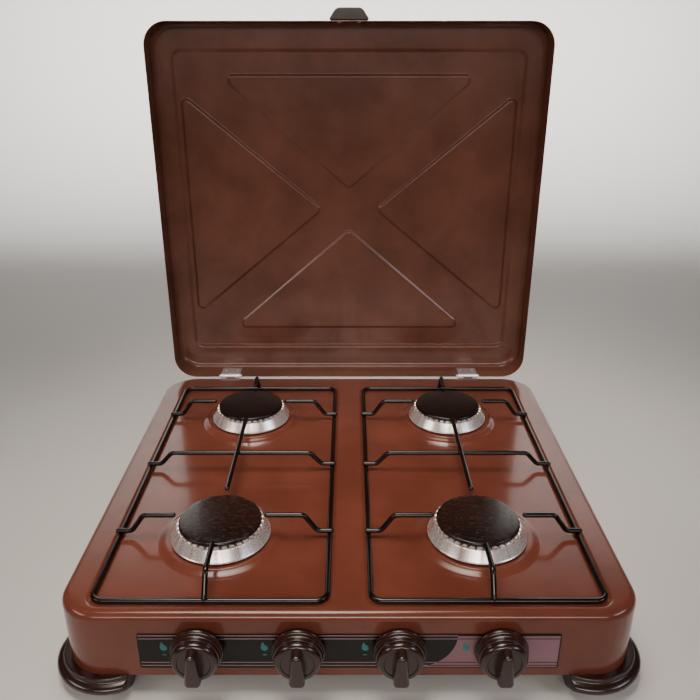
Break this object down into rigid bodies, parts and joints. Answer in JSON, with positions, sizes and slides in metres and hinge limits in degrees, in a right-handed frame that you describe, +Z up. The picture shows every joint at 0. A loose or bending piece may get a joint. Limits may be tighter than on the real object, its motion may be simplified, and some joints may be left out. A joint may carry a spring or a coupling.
{
  "type": "four-burner gas cooker",
  "caption": "Table-top gas cooker with raised ring burners, wire pan supports, front control strip with turning knobs, flared feet and a hinged pressed lid.",
  "frame": {"origin": "on the ground, at the middle of the body's footprint", "axes": "+X to the right seen from the front, +Y to the back, +Z up"},
  "size_m": [0.59, 0.595, 0.6263],
  "materials": {
    "brown_enamel": "glossy vitreous enamel",
    "dark_brown_enamel": "glossy vitreous enamel",
    "black_enamel": "glossy vitreous enamel",
    "cast_aluminium": "satin",
    "dark_brown_plastic": "semi-gloss",
    "printed_strip": "satin print on aluminium sheet",
    "brass": "satin",
    "zinc_plated_steel": "satin",
    "drawn_aluminium_tube": "satin"
  },
  "bodies": {
    "base": {"hob_body": "brown_enamel", "control_strip": "printed_strip", "foot_front_left": "dark_brown_plastic", "foot_front_right": "dark_brown_plastic", "foot_back_left": "dark_brown_plastic", "foot_back_right": "dark_brown_plastic", "foot_screw_front_left": "zinc_plated_steel", "foot_screw_front_right": "zinc_plated_steel", "foot_screw_back_left": "zinc_plated_steel", "foot_screw_back_right": "zinc_plated_steel", "gas_rail": "zinc_plated_steel", "gas_inlet_tail": "brass", "rail_bracket_left": "zinc_plated_steel", "rail_bracket_right": "zinc_plated_steel", "tap_body_front_left": "brass", "feed_tube_front_left": "drawn_aluminium_tube", "injector_holder_front_left": "zinc_plated_steel", "injector_front_left": "brass", "burner_head_front_left": "cast_aluminium", "tap_body_back_left": "brass", "feed_tube_back_left": "drawn_aluminium_tube", "injector_holder_back_left": "zinc_plated_steel", "injector_back_left": "brass", "burner_head_back_left": "cast_aluminium", "tap_body_back_right": "brass", "feed_tube_back_right": "drawn_aluminium_tube", "injector_holder_back_right": "zinc_plated_steel", "injector_back_right": "brass", "burner_head_back_right": "cast_aluminium", "tap_body_front_right": "brass", "feed_tube_front_right": "drawn_aluminium_tube", "injector_holder_front_right": "zinc_plated_steel", "injector_front_right": "brass", "burner_head_front_right": "cast_aluminium", "body_leaf_left": "zinc_plated_steel", "body_leaf_right": "zinc_plated_steel", "hinge_pin_left": "zinc_plated_steel", "hinge_pin_right": "zinc_plated_steel"},
    "lid_assembly": {"lid": "dark_brown_enamel", "lid_handle": "dark_brown_plastic", "lid_leaf_left": "zinc_plated_steel", "lid_leaf_right": "zinc_plated_steel"},
    "support_left": {"pan_support_left": "black_enamel"},
    "support_right": {"pan_support_right": "black_enamel"},
    "cap_front_left": {"burner_cap_front_left": "black_enamel"},
    "plug_front_left": {"tap_plug_front_left": "brass"},
    "turning_knob_front_left": {"tap_spindle_front_left": "zinc_plated_steel", "knob_front_left": "dark_brown_plastic"},
    "cap_back_left": {"burner_cap_back_left": "black_enamel"},
    "plug_back_left": {"tap_plug_back_left": "brass"},
    "turning_knob_back_left": {"tap_spindle_back_left": "zinc_plated_steel", "knob_back_left": "dark_brown_plastic"},
    "cap_back_right": {"burner_cap_back_right": "black_enamel"},
    "plug_back_right": {"tap_plug_back_right": "brass"},
    "turning_knob_back_right": {"tap_spindle_back_right": "zinc_plated_steel", "knob_back_right": "dark_brown_plastic"},
    "cap_front_right": {"burner_cap_front_right": "black_enamel"},
    "plug_front_right": {"tap_plug_front_right": "brass"},
    "turning_knob_front_right": {"tap_spindle_front_right": "zinc_plated_steel", "knob_front_right": "dark_brown_plastic"}
  },
  "joints": [
    {"name": "lid_hinge", "type": "hinge", "parent": "base", "child": "lid_assembly", "pos_m": [0, 0.26, 0.0985], "axis": [1, 0, 0], "range_deg": [0, 90]},
    {"name": "pan_support_left_lift", "type": "slide", "parent": "base", "child": "support_left", "axis": [0, 0, 1], "range_m": [0, 0.06]},
    {"name": "pan_support_right_lift", "type": "slide", "parent": "base", "child": "support_right", "axis": [0, 0, 1], "range_m": [0, 0.06]},
    {"name": "cap_front_left_lift", "type": "slide", "parent": "base", "child": "cap_front_left", "axis": [0, 0, 1], "range_m": [0, 0.05]},
    {"name": "knob_front_left_turn", "type": "hinge", "parent": "base", "child": "plug_front_left", "pos_m": [-0.14325, -0.2595, 0.059], "axis": [0, -1, 0], "range_deg": [0, 200]},
    {"name": "knob_front_left_push", "type": "slide", "parent": "plug_front_left", "child": "turning_knob_front_left", "axis": [0, 1, 0], "range_m": [0, 0.003], "stiffness_N_per_m": 1500, "springref_m": -0.002},
    {"name": "cap_back_left_lift", "type": "slide", "parent": "base", "child": "cap_back_left", "axis": [0, 0, 1], "range_m": [0, 0.05]},
    {"name": "knob_back_left_turn", "type": "hinge", "parent": "base", "child": "plug_back_left", "pos_m": [-0.04775, -0.2595, 0.059], "axis": [0, -1, 0], "range_deg": [0, 200]},
    {"name": "knob_back_left_push", "type": "slide", "parent": "plug_back_left", "child": "turning_knob_back_left", "axis": [0, 1, 0], "range_m": [0, 0.003], "stiffness_N_per_m": 1500, "springref_m": -0.002},
    {"name": "cap_back_right_lift", "type": "slide", "parent": "base", "child": "cap_back_right", "axis": [0, 0, 1], "range_m": [0, 0.05]},
    {"name": "knob_back_right_turn", "type": "hinge", "parent": "base", "child": "plug_back_right", "pos_m": [0.04775, -0.2595, 0.059], "axis": [0, -1, 0], "range_deg": [0, 200]},
    {"name": "knob_back_right_push", "type": "slide", "parent": "plug_back_right", "child": "turning_knob_back_right", "axis": [0, 1, 0], "range_m": [0, 0.003], "stiffness_N_per_m": 1500, "springref_m": -0.002},
    {"name": "cap_front_right_lift", "type": "slide", "parent": "base", "child": "cap_front_right", "axis": [0, 0, 1], "range_m": [0, 0.05]},
    {"name": "knob_front_right_turn", "type": "hinge", "parent": "base", "child": "plug_front_right", "pos_m": [0.14325, -0.2595, 0.059], "axis": [0, -1, 0], "range_deg": [0, 200]},
    {"name": "knob_front_right_push", "type": "slide", "parent": "plug_front_right", "child": "turning_knob_front_right", "axis": [0, 1, 0], "range_m": [0, 0.003], "stiffness_N_per_m": 1500, "springref_m": -0.002}
  ]
}
